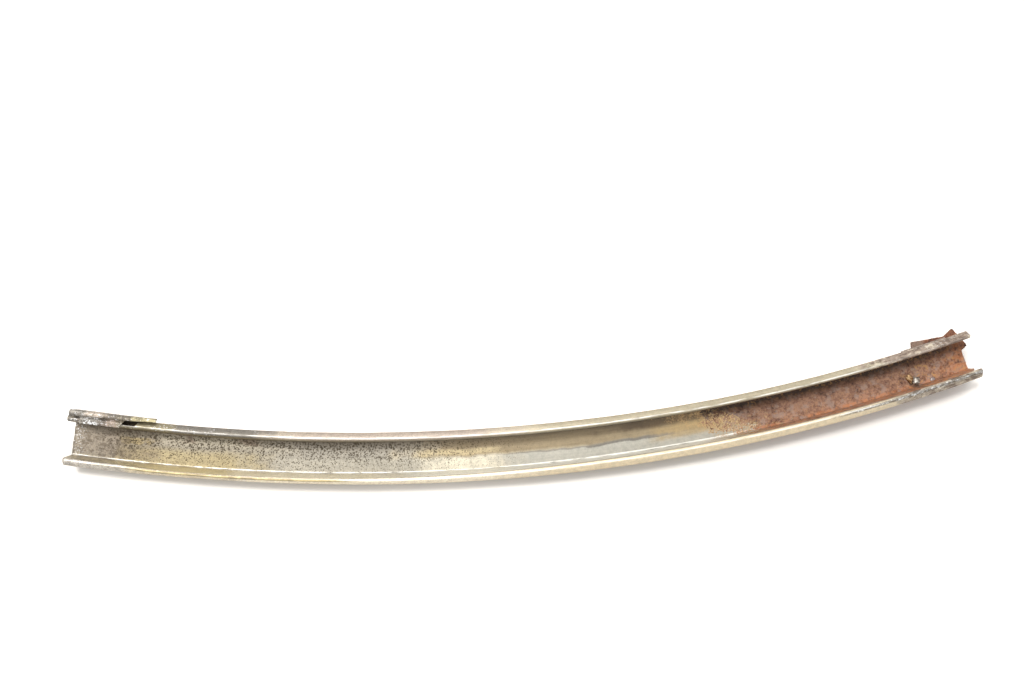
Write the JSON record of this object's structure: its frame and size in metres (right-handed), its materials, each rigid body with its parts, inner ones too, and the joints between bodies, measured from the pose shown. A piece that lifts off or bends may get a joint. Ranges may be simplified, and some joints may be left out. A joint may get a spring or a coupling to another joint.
{
  "type": "window guide rail",
  "caption": "Curved sheet-steel window guide rail: an open channel with outward lips, a wing bracket over one lip near one end, and a riveted flat bracket and stiffening angle at the other.",
  "frame": {"origin": "middle of the web's back, halfway along the channel", "axes": "+X along the channel at its middle, towards the end with the flat bracket; +Y towards the centre of the bend; +Z out of the channel's open side"},
  "size_m": [0.4526, 0.0535, 0.018],
  "materials": {
    "yellow_zinc_steel": "worn yellow-chromated zinc plating, rusted towards the end with the flat bracket",
    "grey_zinc_steel": "dull grey-cream zinc plating",
    "rusted_steel": "brown rust over sheet steel"
  },
  "bodies": {
    "root": {"guide_channel": "yellow_zinc_steel", "wing_bracket": "grey_zinc_steel", "lip_stiffener": "grey_zinc_steel", "end_bracket": "rusted_steel", "split_rivet": "yellow_zinc_steel"}
  },
  "joints": []
}
